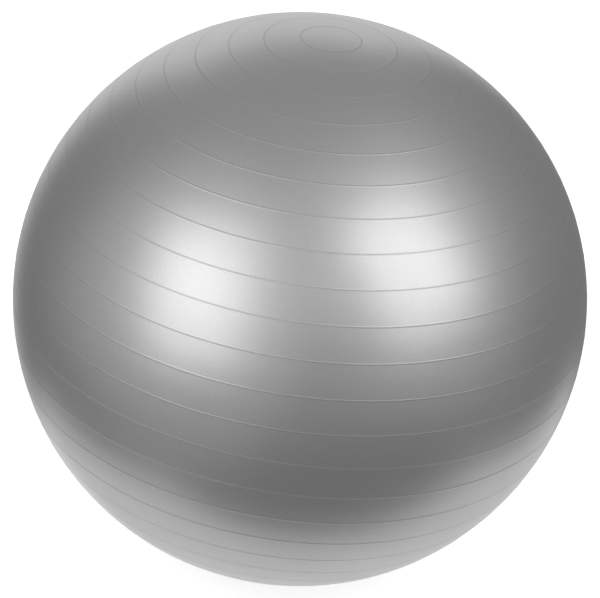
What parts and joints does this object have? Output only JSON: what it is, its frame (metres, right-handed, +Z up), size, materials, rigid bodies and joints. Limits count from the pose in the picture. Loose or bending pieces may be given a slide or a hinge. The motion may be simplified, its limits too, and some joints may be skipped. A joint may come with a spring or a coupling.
{
  "type": "exercise ball",
  "caption": "Inflated exercise ball with fine moulded grip rings, a welded-in valve seat and a push-in plug that pulls out.",
  "frame": {"origin": "centre of the flat patch on which the ball rests, on the floor", "axes": "+Z up, along the axis of the grip rings; +Y out through the valve"},
  "size_m": [0.6498, 0.6497, 0.649],
  "materials": {
    "ball_pvc": "silver-grey pearl PVC, satin, with a fine sparkle",
    "seat_pvc": "silver-grey soft PVC, satin",
    "plug_plastic": "white soft plastic, semi-matte"
  },
  "bodies": {
    "ball": {"ball_shell": "ball_pvc", "valve_seat": "seat_pvc"},
    "plug": {"valve_plug": "plug_plastic"}
  },
  "joints": [
    {"name": "plug_pull", "type": "slide", "parent": "ball", "child": "plug", "axis": [0, 1, 0], "range_m": [0, 0.04]}
  ]
}
